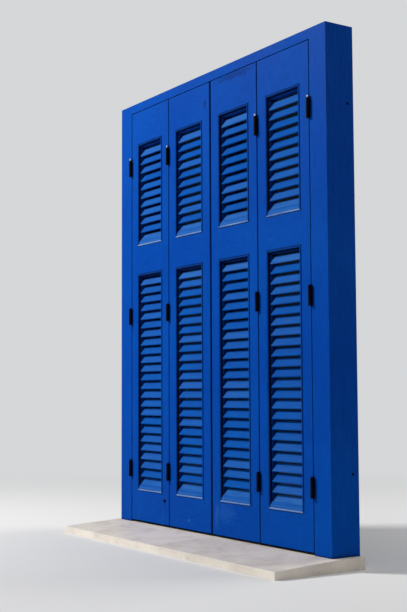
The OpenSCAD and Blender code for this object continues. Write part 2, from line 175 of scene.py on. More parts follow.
def new_finish(name):
    material = bpy.data.materials.new(name)
    material.use_nodes = True
    tree = material.node_tree
    place = put(tree, "ShaderNodeTexCoord").outputs["Object"]
    return material, tree, tree.nodes["Principled BSDF"], place


def stretched(tree, place, scale):
    return put(tree, "ShaderNodeMapping", {"Vector": place, "Scale": scale}).outputs["Vector"]


def spot(tree, place, centre, size):
    """1 inside an oval patch and 0 outside, with a ragged soft edge."""
    moved = put(tree, "ShaderNodeVectorMath", {0: place, 1: centre},
                operation="SUBTRACT").outputs[0]
    shrunk = put(tree, "ShaderNodeVectorMath", {0: moved, 1: size}, operation="DIVIDE").outputs[0]
    reach = put(tree, "ShaderNodeVectorMath", {0: shrunk}, operation="LENGTH").outputs["Value"]
    ragged = maths(tree, "ADD", reach, ramp(tree, noise(tree, place, 90), 0.3, 0.7, -0.5, 0.5))
    return ramp(tree, ragged, 1.0, 0.55)


print("helpers ready")

# %% [markdown]
# ## Blue oil paint on wood
#
# The shutters are softwood under many coats of strong blue oil paint. A flat blue would look like
# plastic, so five things are laid over each other: the wood's grain and the brush marks, which run
# along the board; broad patches where the sun has faded the coat; pale dust and chalk on whatever
# faces up; rubbed edges; and painted shade, a dark colour deep in the grooves and corners. A Bevel
# node gives a rounded normal, and where it differs from the true one there is an edge. An Ambient
# Occlusion node tells how shut in a point is, and the paint is darkened there as painted shade. The
# grain is a noise that is stretched along the board, so upright and level boards have a material
# each.

# %% Painted wood
PAINT = colour(1, 64, 156)
FADED = colour(3, 78, 170)
CHALK = colour(52, 104, 172)
# Dark colour for the brush marks and the darker patches, and for painted shade in recesses
GRIME_AND_SHADE = colour(0, 6, 22)
ALONG = {"upright": (95, 95, 5), "level": (5, 95, 95)}
EDGE_ROUND = 1.2 * MM
RECESS_REACH = 14 * MM
PAINT_SHINE = 0.01

# Where the coat is rubbed pale, and then where it is darker: centre, size and how strong, in metres
RUBBED = [
    ((0.030, 0.0, 0.110), (0.012, 0.03, 0.050), 0.22),
    ((0.090, 0.0, 0.130), (0.060, 0.03, 0.040), 0.16),
    ((-0.150, 0.0, 0.077), (0.006, 0.02, 0.010), 0.9),
    ((-0.513, 0.0, 0.070), (0.002, 0.02, 0.022), 0.5),
    ((-0.333, 0.0, 0.076), (0.002, 0.02, 0.032), 0.6),
]
# Darker patches, high on the second leaf and along the top of the third
DARK_PATCHES = [
    ((-0.032, 0.0, 1.587), (0.008, 0.02, 0.016), 0.6),
    ((0.145, 0.0, 1.650), (0.130, 0.03, 0.015), 0.35),
]


def edges_of(tree, radius):
    rounded = put(tree, "ShaderNodeBevel", {"Radius": radius}, samples=4).outputs["Normal"]
    true = put(tree, "ShaderNodeNewGeometry").outputs["True Normal"]
    alike = put(tree, "ShaderNodeVectorMath", {0: rounded, 1: true}, operation="DOT_PRODUCT")
    return rounded, ramp(tree, alike.outputs["Value"], 0.998, 0.90)


def recess_shade_of(tree, reach):
    """How much painted shade goes on: 1 deep in a groove or a corner, and 0 on an open face."""
    shut_in = put(tree, "ShaderNodeAmbientOcclusion", {"Distance": reach}, samples=6)
    return ramp(tree, shut_in.outputs["AO"], 0.86, 0.46)


def facing_up(tree):
    normal = put(tree, "ShaderNodeNewGeometry").outputs["Normal"]
    return put(tree, "ShaderNodeSeparateXYZ", {"Vector": normal}).outputs["Z"]


def painted_wood(name, run, coat=PAINT, faded=FADED, dust=0.45, roughness=0.46, wear=0.6,
                 tones=False, chalk=CHALK):
    """Oil paint with painted shade in recesses; tones lighten it above 0, painted shade below."""
    material, tree, shader, place = new_finish(name)
    along = stretched(tree, place, ALONG[run])
    grain = noise(tree, along, 1.0, detail=5, roughness=0.62)
    brush = noise(tree, along, 4.2, detail=2, roughness=0.5)
    patches = noise(tree, place, 2.6, detail=5)
    rounded, edge = edges_of(tree, EDGE_ROUND)

    shade = blend(tree, ramp(tree, patches, 0.32, 0.72, 0.0, 0.55), coat, faded)
    shade = blend(tree, ramp(tree, grain, 0.35, 0.75, 0.0, 0.28), shade, faded)
    shade = blend(tree, ramp(tree, brush, 0.30, 0.70, 0.22, 0.0), shade, GRIME_AND_SHADE)
    if tones:
        tone = put(tree, "ShaderNodeAttribute", attribute_name="paleness").outputs["Fac"]
        streaky = maths(tree, "MULTIPLY", tone,
                        ramp(tree, noise(tree, along, 2.0), 0.25, 0.6, 0.4, 1.0))
        # Above 0 paler: weathering, and on the moulding and fillet lines also a painted highlight
        shade = blend(tree, maths(tree, "MULTIPLY", streaky, 0.75), shade, chalk)
        # Below 0 darker: painted shade
        shade = blend(tree, ramp(tree, tone, 0.0, -1.0), shade, GRIME_AND_SHADE)
    lying = maths(tree, "MULTIPLY", ramp(tree, facing_up(tree), 0.25, 0.95, 0.0, dust),
                  ramp(tree, noise(tree, place, 38, detail=6), 0.25, 0.65, 0.45, 1.0))
    shade = blend(tree, lying, shade, CHALK)
    worn = maths(tree, "MULTIPLY", edge,
                 ramp(tree, noise(tree, place, 22, detail=5), 0.42, 0.62, 0.0, wear))
    shade = blend(tree, worn, shade, CHALK)
    for centre, size, strength in RUBBED:
        patch = maths(tree, "MULTIPLY", spot(tree, place, centre, size), strength)
        shade = blend(tree, patch, shade, CHALK)
    for centre, size, strength in DARK_PATCHES:
        patch = maths(tree, "MULTIPLY", spot(tree, place, centre, size), strength)
        shade = blend(tree, patch, shade, GRIME_AND_SHADE)
    # Painted shade: the paint goes dark deep in grooves and corners
    deep = maths(tree, "MULTIPLY", recess_shade_of(tree, RECESS_REACH), 0.92)
    shade = blend(tree, deep, shade, GRIME_AND_SHADE)
    tree.links.new(shade, shader.inputs["Base Color"])

    gloss = maths(tree, "ADD", ramp(tree, patches, 0.3, 0.7, roughness - 0.06, roughness + 0.12),
                  maths(tree, "MULTIPLY", lying, 0.25))
    tree.links.new(gloss, shader.inputs["Roughness"])
    relief = maths(tree, "ADD", maths(tree, "MULTIPLY", grain, 0.7),
                   maths(tree, "MULTIPLY", brush, 0.3))
    bump = put(tree, "ShaderNodeBump", {"Height": relief, "Normal": rounded, "Strength": 0.55,
                                        "Distance": 0.5 * MM})
    tree.links.new(bump.outputs["Normal"], shader.inputs["Normal"])
    shader.inputs["Specular IOR Level"].default_value = PAINT_SHINE
    return material


upright_paint = painted_wood("paint_on_upright_boards", "upright")
level_paint = painted_wood("paint_on_level_boards", "level")
# The slats' coat is a little lighter than the boards': sun fading, and painted light for the sky
# they face
slat_paint = painted_wood("paint_on_slats", "level", coat=colour(1, 72, 156),
                          faded=colour(3, 86, 170), dust=0.14, roughness=0.52, tones=True)
print("paints:", upright_paint.name, level_paint.name, slat_paint.name)

# %% [markdown]
# ## The marble slab
#
# The sill is one slab of pale, warm marble with grey clouds. Veins are thin lines where a
# noise passes through its middle value: the closer it is to the middle, the darker the stone. The
# top lies in the rain, so it holds some dirt, and the edges are bruised pale.

# %% Marble
def marble_finish():
    material, tree, shader, place = new_finish("pale_marble")
    rounded, edge = edges_of(tree, 2.5 * MM)
    clouds = noise(tree, place, 5.0, detail=8, roughness=0.62)
    slanted = stretched(tree, place, (3.0, 9.0, 9.0))
    threads = noise(tree, slanted, 1.3, detail=7, roughness=0.7)
    middle = maths(tree, "ABSOLUTE", maths(tree, "SUBTRACT", threads, 0.5), 0)
    vein = maths(tree, "MULTIPLY", ramp(tree, middle, 0.020, 0.0),
                 ramp(tree, clouds, 0.45, 0.7, 0.0, 0.55))
    fine = noise(tree, place, 420, detail=2)

    pale, cloudy = colour(231, 222, 209), colour(212, 202, 191)
    stone = blend(tree, ramp(tree, clouds, 0.35, 0.68), pale, cloudy)
    stone = blend(tree, vein, stone, colour(128, 132, 142))
    stone = blend(tree, ramp(tree, fine, 0.35, 0.65, 0.12, 0.0), stone, colour(152, 143, 130))
    dirt = maths(tree, "MULTIPLY", ramp(tree, facing_up(tree), 0.5, 0.95),
                 ramp(tree, noise(tree, place, 14, detail=6), 0.42, 0.75, 0.0, 0.35))
    stone = blend(tree, dirt, stone, colour(158, 146, 136))
    stone = blend(tree, maths(tree, "MULTIPLY", edge, 0.35), stone, colour(240, 238, 234))
    tree.links.new(stone, shader.inputs["Base Color"])
    tree.links.new(ramp(tree, clouds, 0.3, 0.7, 0.34, 0.55), shader.inputs["Roughness"])
    relief = maths(tree, "ADD", maths(tree, "MULTIPLY", fine, 0.4), clouds)
    bump = put(tree, "ShaderNodeBump", {"Height": relief, "Normal": rounded, "Strength": 0.35,
                                        "Distance": 0.8 * MM})
    tree.links.new(bump.outputs["Normal"], shader.inputs["Normal"])
    return material


marble = marble_finish()
print("stone:", marble.name)

# %% [markdown]
# ## Iron, brass and glass
#
# The hinges are iron painted almost black, with blue showing where the paint is thin, and only the
# tips of their pins are near white: rubbed bright, with a painted highlight. The cremone bolt is
# brass gone brown. From outside the panes look almost black, as glass does in front of an unlit
# room. A clear pane would show the bright sky behind it through every gap of the louvres, so the
# glass is tinted dark, painted shade for the unlit room, and it is very smooth.

# %% Metals and glass
def metal_finish(name, base, spots, metallic, roughness, shine=0.5):
    material, tree, shader, place = new_finish(name)
    rounded, edge = edges_of(tree, 0.6 * MM)
    mottle = noise(tree, place, 160, detail=6, roughness=0.65)
    broad = noise(tree, place, 24, detail=4)
    tint = blend(tree, ramp(tree, mottle, 0.56, 0.68, 0.0, 0.7), base, spots)
    tint = blend(tree, maths(tree, "MULTIPLY", edge, 0.5), tint, spots)
    tree.links.new(tint, shader.inputs["Base Color"])
    shader.inputs["Metallic"].default_value = metallic
    shader.inputs["Specular IOR Level"].default_value = shine
    gloss = ramp(tree, broad, 0.3, 0.7, roughness, roughness + 0.2)
    tree.links.new(gloss, shader.inputs["Roughness"])
    bump = put(tree, "ShaderNodeBump", {"Height": mottle, "Normal": rounded, "Strength": 0.4,
                                        "Distance": 0.25 * MM})
    tree.links.new(bump.outputs["Normal"], shader.inputs["Normal"])
    return material


def glass_finish():
    material, tree, shader, place = new_finish("dark_pane")
    film = noise(tree, stretched(tree, place, (14, 14, 3)), 1.0, detail=5)
    tree.links.new(ramp(tree, film, 0.35, 0.75, 0.01, 0.09), shader.inputs["Roughness"])
    # The dark tint is painted shade for the unlit room behind the panes
    clean, dusty = (0.020, 0.026, 0.028, 1), (0.034, 0.038, 0.038, 1)
    tint = blend(tree, ramp(tree, film, 0.4, 0.8, 0.0, 0.5), clean, dusty)
    tree.links.new(tint, shader.inputs["Base Color"])
    shader.inputs["Transmission Weight"].default_value = 1.0
    shader.inputs["IOR"].default_value = 1.5
    return material


hinge_iron = metal_finish("black_hinge_iron", colour(3, 7, 20), colour(10, 26, 66), 0.0, 0.60,
                          shine=0.06)
# Near-white pin tips: rubbed iron, with a painted highlight in the colour
rubbed_and_highlit_iron = metal_finish("rubbed_and_highlit_iron", colour(196, 204, 222), colour(120, 128, 150), 0.4, 0.30)
brass = metal_finish("brown_brass", colour(150, 118, 62), colour(86, 66, 38), 1.0, 0.30)
pane_glass = glass_finish()
print("metals and glass:", hinge_iron.name, rubbed_and_highlit_iron.name, brass.name, pane_glass.name)

# %% [markdown]
# ## Give each piece its finish
#
# The pieces' names say what they are, so the finish follows from the name. Rails, the head and the
# bottom rail are level boards, stiles and jambs are upright ones.

# %% Assign the finishes
def finish_for(name):
    if name == "stone_sill":
        return marble
    if name.endswith("glass"):
        return pane_glass
    if "hinge_pins" in name or "hinge_flaps" in name or name.endswith("drop_bolt"):
        return hinge_iron
    if name.startswith("cremone"):
        return brass
    if name.endswith("slats"):
        return slat_paint
    if name.endswith("rail") or name.endswith("head") or name.endswith("beads"):
        return level_paint
    return upright_paint


for name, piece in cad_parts.items():
    piece.data.materials.clear()
    piece.data.materials.append(finish_for(name))
print("finishes given to", len(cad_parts), "pieces")

# %% [markdown]
# ## Turning a list of corners into a piece
#
# Several pieces are built point by point. One function makes a mesh object of points and faces,
# turns its faces outwards, and sets its finish, so that the cells below hold only the shape.

# %% Make a mesh piece
def mesh_piece(name, points, faces, material, smooth=False):
    mesh = bpy.data.meshes.new(name)
    shell = bmesh.new()
    corners = [shell.verts.new(p) for p in points]
    for face in faces:
        shell.faces.new([corners[i] for i in face])
    bmesh.ops.recalc_face_normals(shell, faces=shell.faces)
    for face in shell.faces:
        face.smooth = smooth
    shell.to_mesh(mesh)
    shell.free()
    mesh.materials.append(material)
    piece = bpy.data.objects.new(name, mesh)
    bpy.context.scene.collection.objects.link(piece)
    return piece


def ring_faces(rings, sides, closed=True):
    """Quads between neighbouring rings of points. If closed, the last ring joins the first."""
    count = rings if closed else rings - 1
    faces = []
    for i in range(count):
        here, there = i * sides, (i + 1) % rings * sides
        faces += [(here + j, here + (j + 1) % sides, there + (j + 1) % sides, there + j)
                  for j in range(sides)]
    return faces


print("mesh helpers ready")

# %% [markdown]
# ## The mouldings round the louvres
#
# A joiner runs a round bead along each board and an ovolo, a quarter round, in the sunk ledge next
# to the louvres, and mitres both at the corners. A curve with a bevel would pinch at the corners.
# So the profile's points are set out at the four corners of the opening, each moved outwards by its
# own distance, and joined into four mitred lengths. Both mouldings of both openings are one piece
# on each leaf. A value stored on the faces makes the paint pale at the foot, worn where water
# stands longest and with a painted highlight, and dark under the top and on the sides, most on the
# left, as painted shade.

# %% Profiles of the bead and the ovolo
LEDGE, LEDGE_DEPTH, GROOVE_INNER = 5 * MM, 6 * MM, 11 * MM
SUNK = 0.3 * MM
ARC_STEPS = 8


def bead_profile():
    """(distance out from the opening, depth behind the leaf's face) of a half round bead."""
    centre, radius, rise = (LEDGE + GROOVE_INNER) / 2, (GROOVE_INNER - LEDGE) / 2, 2.4 * MM
    turns = [math.pi * i / ARC_STEPS for i in range(ARC_STEPS + 1)]
    arc = [(centre + radius * math.cos(t), -rise * math.sin(t)) for t in turns]
    return arc + [(LEDGE, SUNK), (GROOVE_INNER, SUNK)]


def ovolo_profile():
    radius = LEDGE - 0.6 * MM
    turns = [math.pi / 2 * i / ARC_STEPS for i in range(ARC_STEPS + 1)]
    arc = [(LEDGE - radius * math.cos(t), LEDGE_DEPTH - radius * math.sin(t)) for t in turns]
    return arc + [(LEDGE + SUNK, LEDGE_DEPTH - radius), (LEDGE + SUNK, LEDGE_DEPTH + SUNK),
                  (LEDGE - radius, LEDGE_DEPTH + SUNK)]


print("bead profile has", len(bead_profile()), "points and the ovolo", len(ovolo_profile()))

# %% Lay the mouldings on the leaves
LEAVES = (1, 2, 3, 4)
# Paleness at the foot, on the right, at the top and on the left; below 0 it is painted shade
# instead
BEAD_PALENESS_AND_SHADE = (1.0, 0.0, -0.45, -0.35)
OVOLO_PALENESS_AND_SHADE = (0.5, -0.3, -0.9, -0.9)
# The pale line at the foot: worn paint with a painted highlight
WEAR_AND_HIGHLIGHT_LINE = colour(128, 158, 206)
moulding_paint = painted_wood("paint_on_mouldings", "level", wear=0.5, tones=True, chalk=WEAR_AND_HIGHLIGHT_LINE)


def openings_of(leaf):
    """The left and right edge of a leaf's openings, and the foot and top of each."""
    boxes = [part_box(f"shutter_{leaf}_{side}_stile") for side in ("outer", "inner")]
    left, right = sorted(boxes, key=lambda box: box[0].x)
    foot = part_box(f"shutter_{leaf}_bottom_rail")[1].z
    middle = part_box(f"shutter_{leaf}_middle_rail")
    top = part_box(f"shutter_{leaf}_top_rail")[0].z
    return left[1].x, right[0].x, ((foot, middle[0].z), (middle[1].z, top))


def mitred_ring(profile, x0, x1, z0, z1):
    points = []
    for x, x_way, z, z_way in ((x0, -1, z0, -1), (x1, 1, z0, -1), (x1, 1, z1, 1), (x0, -1, z1, 1)):
        points += [(x + x_way * out, depth, z + z_way * out) for out, depth in profile]
    return points, ring_faces(4, len(profile))


def leaf_mouldings(leaf):
    x0, x1, spans = openings_of(leaf)
    points, faces, paleness = [], [], []
    for z0, z1 in spans:
        for profile, sides in ((bead_profile(), BEAD_PALENESS_AND_SHADE), (ovolo_profile(), OVOLO_PALENESS_AND_SHADE)):
            ring, quads = mitred_ring(profile, x0, x1, z0, z1)
            faces += [tuple(i + len(points) for i in quad) for quad in quads]
            points += ring
            paleness += [pale for pale in sides for _ in profile]
    moulding = mesh_piece(f"shutter_{leaf}_mouldings", points, faces, moulding_paint)
    moulding.data.attributes.new("paleness", "FLOAT", "FACE").data.foreach_set("value", paleness)
    return moulding


for leaf in LEAVES:
    moulding = leaf_mouldings(leaf)
    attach(moulding, f"shutter_{leaf}")
    print(moulding.name, len(moulding.data.polygons), "faces")

# %% [markdown]
# ## The astragals round the panes
#
# On the room side each pane's glazing beads carry a small astragal, a half round moulding, mitred
# at the corners like those on the leaves. It is the same ring of four lengths, turned to face the
# room.

# %% The casements' astragals
ASTRAGAL_SET_BACK, ASTRAGAL_WIDTH, ASTRAGAL_RISE = 2 * MM, 8 * MM, 3 * MM


def astragal_profile(face):
    """(distance out from the pane, depth), on a casement whose room face is at the given depth."""
    turns = [math.pi * i / ARC_STEPS for i in range(ARC_STEPS + 1)]
    near, wide = ASTRAGAL_SET_BACK, ASTRAGAL_WIDTH
    arc = [(near + wide / 2 * (1 + math.cos(t)), face + ASTRAGAL_RISE * math.sin(t)) for t in turns]
    return arc + [(near, face - SUNK), (near + wide, face - SUNK)]


for side in ("left", "right"):
    stiles = [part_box(f"{side}_casement_{which}_stile") for which in ("hinge", "meeting")]
    left, right = sorted(stiles, key=lambda box: box[0].x)
    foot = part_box(f"{side}_casement_bottom_rail")[1].z
    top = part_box(f"{side}_casement_top_rail")[0].z
    points, faces = mitred_ring(astragal_profile(left[1].y), left[1].x, right[0].x, foot, top)
    astragal = mesh_piece(f"{side}_casement_astragal", points, faces, upright_paint)
    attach(astragal, f"{side}_casement")
    print(astragal.name, round((right[0].x - left[1].x) / MM), "mm wide inside")

# %% [markdown]
# ## The sprung strip between the casements
#
# A free gap of 6 mm between the casements would let daylight through. Old timber casements can have
# a strip of thin sprung brass nailed along one meeting edge, which bends when the other one passes.
# It is a thin plate that slants across the gap and ends in a short lip, drawn as one outline and
# drawn out to the casement's height. It is drawn as it rests, and does not bend here.

# %% Brass weather strip
STRIP_HALF, STRIP_THICK, LIP = 9 * MM, 0.5 * MM, 1 * MM
STRIP_EDGE_PLAY = 0.4 * MM


def weather_strip():
    left, right = (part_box(f"{side}_casement_meeting_stile") for side in ("left", "right"))
    start, gap, middle = left[1].x, right[0].x - left[1].x, (left[0].y + left[1].y) / 2
    free = gap - STRIP_EDGE_PLAY
    section = [(-SUNK, -STRIP_HALF), (0.35 * MM, -STRIP_HALF), (free, STRIP_HALF - LIP),
               (free, STRIP_HALF), (free - STRIP_THICK, STRIP_HALF), (-SUNK, 1.5 * MM - STRIP_HALF)]
    points = [(start + x, middle + y, z) for z in (left[0].z, left[1].z) for x, y in section]
    count = len(section)
    caps = [tuple(range(count)), tuple(range(count, 2 * count))]
    faces = ring_faces(2, count, closed=False) + caps
    return mesh_piece("left_casement_strip", points, faces, brass)


strip = weather_strip()
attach(strip, "left_casement")
print(strip.name, "closes the gap between the casements")

# %% [markdown]
# ## The fillets under the louvres
#
# Rain runs down the slats, so below the lowest one of each opening a sloping fillet fills the ledge
# and throws the water off the leaf. It is the part that dries last, and its upright front is pale:
# paint worn to a chalky line, with a painted highlight in it. Its section is a triangle that goes
# on where the lowest slat's face ends.

# %% The weather fillets
fillet_paint = painted_wood("paint_on_fillets", "level", coat=colour(3, 72, 156),
                            faded=colour(8, 88, 168), dust=0.3, roughness=0.55, wear=0.8,
                            tones=True)
# Depth behind the leaf's face and height above the opening's foot, in mm
FILLET = [(5.95, 13.5), (5.2, 13.5), (0.9, 3.4), (0.3, 2.6), (0.3, -4.8), (5.95, -4.8)]


def leaf_fillets(leaf):
    x0, x1, spans = openings_of(leaf)
    points, faces = [], []
    for foot, _ in spans:
        start = len(points)
        count = len(FILLET)
        for x in (x0 - LEDGE + SUNK, x1 + LEDGE - SUNK):
            points += [(x, y * MM, foot + z * MM) for y, z in FILLET]
        faces += [tuple(i + start for i in quad) for quad in ring_faces(2, count, closed=False)]
        faces += [tuple(range(end, end + count)) for end in (start, start + count)]
    fillets = mesh_piece(f"shutter_{leaf}_fillets", points, faces, fillet_paint)
    # The upright front is paler: worn paint and a painted highlight
    pale = [0.9 if face.normal.y < -0.95 else 0.3 for face in fillets.data.polygons]
    fillets.data.attributes.new("paleness", "FLOAT", "FACE").data.foreach_set("value", pale)
    return fillets


for leaf in LEAVES:
    fillet = leaf_fillets(leaf)
    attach(fillet, f"shutter_{leaf}")
    print(fillet.name, "under", len(openings_of(leaf)[2]), "louvres")

# %% [markdown]
# ## The slats
#
# 35 slats on each leaf are the same board, tilted and set one pitch apart, which is what Geometry
# Nodes are for. The tree takes the counts, heights, pitch and tilt as inputs. It lays a line of
# points up each opening and puts the board on every point. A small seeded wobble of the angle makes
# them hand fitted, and a paleness stored on each slat lets the paint differ from one to the next.
# The first and last slat of an opening catch more weather, so they are paler.

# %% The slat board
PITCH, BOARD, THICK = 34 * MM, 33 * MM, 7 * MM
TILT = math.radians(32)
INSET, SLAT_FOOT = 4 * MM, 6 * MM
NOSE = THICK / 2
SLAT_PLAY = 0.15 * MM


def slat_board(length):
    """A board along X, with its round nose at the origin and softened corners above."""
    nose = [(NOSE - NOSE * math.cos(a), NOSE - NOSE * math.sin(a))
            for a in (math.pi * i / 10 for i in range(11))]
    near, far = 0.5 * MM, 1.6 * MM  # how far a softened corner's three points stand from it
    back = [(THICK, BOARD - far), (THICK - near, BOARD - near), (THICK - far, BOARD),
            (far, BOARD), (near, BOARD - near), (0, BOARD - far)]
    outline = nose + back
    ends = [SLAT_PLAY, length - SLAT_PLAY]
    points = [(x, y, z) for x in ends for y, z in outline]
    count = len(outline)
    caps = [tuple(range(count)), tuple(range(count, 2 * count))]
    return mesh_piece("slat_board", points, ring_faces(2, count, closed=False) + caps, slat_paint)


print("slat section:", round(BOARD / MM), "x", round(THICK / MM), "mm")

# %% The tree that racks the slats
def node_group(name, inputs):
    tree = bpy.data.node_groups.new(name, "GeometryNodeTree")
    for label, kind, value in inputs:
        socket = tree.interface.new_socket(label, in_out="INPUT", socket_type=kind)
        if value is not None:
            socket.default_value = value
    tree.interface.new_socket("Geometry", in_out="OUTPUT", socket_type="NodeSocketGeometry")
    return tree, put(tree, "NodeGroupInput").outputs, put(tree, "NodeGroupOutput")


def slat_rack_tree():
    tree, given, result = node_group("slat_rack", [
        ("Slat", "NodeSocketObject", None), ("Finish", "NodeSocketMaterial", None),
        ("Left", "NodeSocketFloat", 0.0), ("Inset", "NodeSocketFloat", INSET),
        ("Pitch", "NodeSocketFloat", PITCH), ("Tilt", "NodeSocketFloat", TILT),
        ("Lower Foot", "NodeSocketFloat", 0.0), ("Lower Count", "NodeSocketInt", 24),
        ("Upper Foot", "NodeSocketFloat", 0.0), ("Upper Count", "NodeSocketInt", 11),
        ("Wobble", "NodeSocketFloat", math.radians(0.7)), ("Seed", "NodeSocketInt", 1),
    ])
    step = put(tree, "ShaderNodeCombineXYZ", {"Z": given["Pitch"]}).outputs[0]
    lines = []
    for part in ("Lower", "Upper"):
        corner = {"X": given["Left"], "Y": given["Inset"], "Z": given[part + " Foot"]}
        start = put(tree, "ShaderNodeCombineXYZ", corner).outputs[0]
        line = put(tree, "GeometryNodeMeshLine",
                   {"Count": given[part + " Count"], "Start Location": start, "Offset": step})
        place = put(tree, "GeometryNodeInputIndex").outputs[0]
        last = maths(tree, "SUBTRACT", given[part + " Count"], 1)
        at_end = maths(tree, "ADD", maths(tree, "COMPARE", place, 0),
                       maths(tree, "COMPARE", place, last))
        chance = put(tree, "FunctionNodeRandomValue", {"Seed": given["Seed"]}, data_type="FLOAT")
        spread = maths(tree, "POWER", [s for s in chance.outputs if s.enabled][0], 2.0)
        tone = maths(tree, "MULTIPLY", maths(tree, "ADD", spread, at_end), 0.5)
        stored = put(tree, "GeometryNodeStoreNamedAttribute",
                     {"Geometry": line.outputs["Mesh"], "Name": "paleness", "Value": tone},
                     data_type="FLOAT", domain="POINT")
        lines.append(stored.outputs["Geometry"])
    both = put(tree, "GeometryNodeJoinGeometry")
    for line in lines:
        tree.links.new(line, both.inputs["Geometry"])
    swing = put(tree, "FunctionNodeRandomValue", {"Seed": given["Seed"]}, data_type="FLOAT")
    swing_sockets = [s for s in swing.inputs if s.type == "VALUE" and s.enabled]
    tree.links.new(maths(tree, "MULTIPLY", given["Wobble"], -1.0), swing_sockets[0])
    tree.links.new(given["Wobble"], swing_sockets[1])
    turned = maths(tree, "SUBTRACT", [s for s in swing.outputs if s.enabled][0], given["Tilt"])
    turn = put(tree, "ShaderNodeCombineXYZ", {"X": turned}).outputs[0]
    board = put(tree, "GeometryNodeObjectInfo", {"Object": given["Slat"]}).outputs["Geometry"]
    racked = put(tree, "GeometryNodeInstanceOnPoints",
                 {"Points": both.outputs[0], "Instance": board, "Rotation": turn})
    plain = put(tree, "GeometryNodeRealizeInstances", {"Geometry": racked.outputs["Instances"]})
    finished = put(tree, "GeometryNodeSetMaterial",
                   {"Geometry": plain.outputs["Geometry"], "Material": given["Finish"]})
    tree.links.new(finished.outputs["Geometry"], result.inputs["Geometry"])
    return tree


slat_rack = slat_rack_tree()
print("tree", slat_rack.name, "has", len(slat_rack.nodes), "nodes")

# %% Run a tree and keep its mesh
def grown(name, tree, values):
    """Runs a tree with named inputs and returns the result as a plain mesh object."""
    holder = bpy.data.objects.new(name + "_holder", bpy.data.meshes.new(name + "_holder"))
    bpy.context.scene.collection.objects.link(holder)
    modifier = holder.modifiers.new("tree", "NODES")
    modifier.node_group = tree
    for item in tree.interface.items_tree:
        if item.in_out == "INPUT" and item.name in values:
            modifier[item.identifier] = values[item.name]
    holder.update_tag()
    seen = holder.evaluated_get(bpy.context.evaluated_depsgraph_get())
    mesh = bpy.data.meshes.new_from_object(seen)
    mesh.name = name
    bpy.data.objects.remove(holder)
    piece = bpy.data.objects.new(name, mesh)
    bpy.context.scene.collection.objects.link(piece)
    return piece


def slat_count(foot, top):
    rise = BOARD * math.cos(TILT) + THICK * math.sin(TILT)
    return math.floor((top - foot - SLAT_FOOT - rise) / PITCH) + 1


for leaf in LEAVES:
    x0, x1, (lower, upper) = openings_of(leaf)
    board = slat_board(x1 - x0)
    slats = grown(f"shutter_{leaf}_louvre", slat_rack, {
        "Slat": board, "Finish": slat_paint, "Left": x0, "Seed": 10 + leaf,
        "Lower Foot": lower[0] + SLAT_FOOT + NOSE, "Lower Count": slat_count(*lower),
        "Upper Foot": upper[0] + SLAT_FOOT + NOSE, "Upper Count": slat_count(*upper),
    })
    bpy.data.objects.remove(board)
    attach(slats, f"shutter_{leaf}")
    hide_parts(f"shutter_{leaf}_slats")
    print(slats.name, slat_count(*lower) + slat_count(*upper), "slats")

# %% [markdown]
# ## Turned pieces
#
# Knobs, finials and screw heads are turned on a lathe: a profile goes round an axis. The profile is
# a short list of radius and height, and each radius becomes a ring of points.

# %% A lathe
def turned(name, profile, material, sides=20):
    """A closed turned piece about Z. The first and the last radius are 0, at the poles."""
    points = [(0, 0, profile[0][1])]
    for radius, height in profile[1:-1]:
        points += [(radius * math.cos(a), radius * math.sin(a), height)
                   for a in (2 * math.pi * k / sides for k in range(sides))]
    points.append((0, 0, profile[-1][1]))
    rings = len(profile) - 2
    faces = [tuple(i + 1 for i in quad) for quad in ring_faces(rings, sides, closed=False)]
    last = len(points) - 1
    faces += [(0, 1 + (k + 1) % sides, 1 + k) for k in range(sides)]
    faces += [(last, last - sides + k, last - sides + (k + 1) % sides) for k in range(sides)]
    return mesh_piece(name, points, faces, material, smooth=True)


def dome(radius, height, foot=0.0, steps=6):
    """Profile of a dome: from its foot's middle, out to the rim and over the top."""
    turns = [math.pi / 2 * i / steps for i in range(steps + 1)]
    return [(0, foot)] + [(radius * math.cos(t), foot + height * math.sin(t)) for t in turns[:-1]] \
        + [(0, foot + height)]


print("a dome's profile has", len(dome(1, 1)), "points")

# %% [markdown]
# ## Finials on the hinge pins
#
# Each pin ends in a small turned finial, near white above the dark knuckles: rubbed bright iron,
# with a painted highlight in its colour. The hinges repeat, so one tree puts a piece on a list of
# points. The points of each body are a mesh of their own, and each body gets a mesh of finials.

# %% The tree that repeats a piece
def repeat_tree():
    tree, given, result = node_group("repeat_on_points", [
        ("Points", "NodeSocketObject", None), ("Piece", "NodeSocketObject", None),
        ("Finish", "NodeSocketMaterial", None), ("Turn", "NodeSocketVector", (0, 0, 0)),
    ])
    spots = put(tree, "GeometryNodeObjectInfo", {"Object": given["Points"]}).outputs["Geometry"]
    piece = put(tree, "GeometryNodeObjectInfo", {"Object": given["Piece"]}).outputs["Geometry"]
    placed = put(tree, "GeometryNodeInstanceOnPoints",
                 {"Points": spots, "Instance": piece, "Rotation": given["Turn"]})
    plain = put(tree, "GeometryNodeRealizeInstances", {"Geometry": placed.outputs["Instances"]})
    finished = put(tree, "GeometryNodeSetMaterial",
                   {"Geometry": plain.outputs["Geometry"], "Material": given["Finish"]})
    tree.links.new(finished.outputs["Geometry"], result.inputs["Geometry"])
    return tree


repeat = repeat_tree()


def repeated(name, piece, places, material, turn=(0, 0, 0)):
    mesh = bpy.data.meshes.new(name + "_places")
    mesh.from_pydata([tuple(p) for p in places], [], [])
    marks = bpy.data.objects.new(name + "_places", mesh)
    bpy.context.scene.collection.objects.link(marks)
    made = grown(name, repeat, {"Points": marks, "Piece": piece, "Finish": material, "Turn": turn})
    bpy.data.objects.remove(marks)
    return made


print("tree", repeat.name, "has", len(repeat.nodes), "nodes")

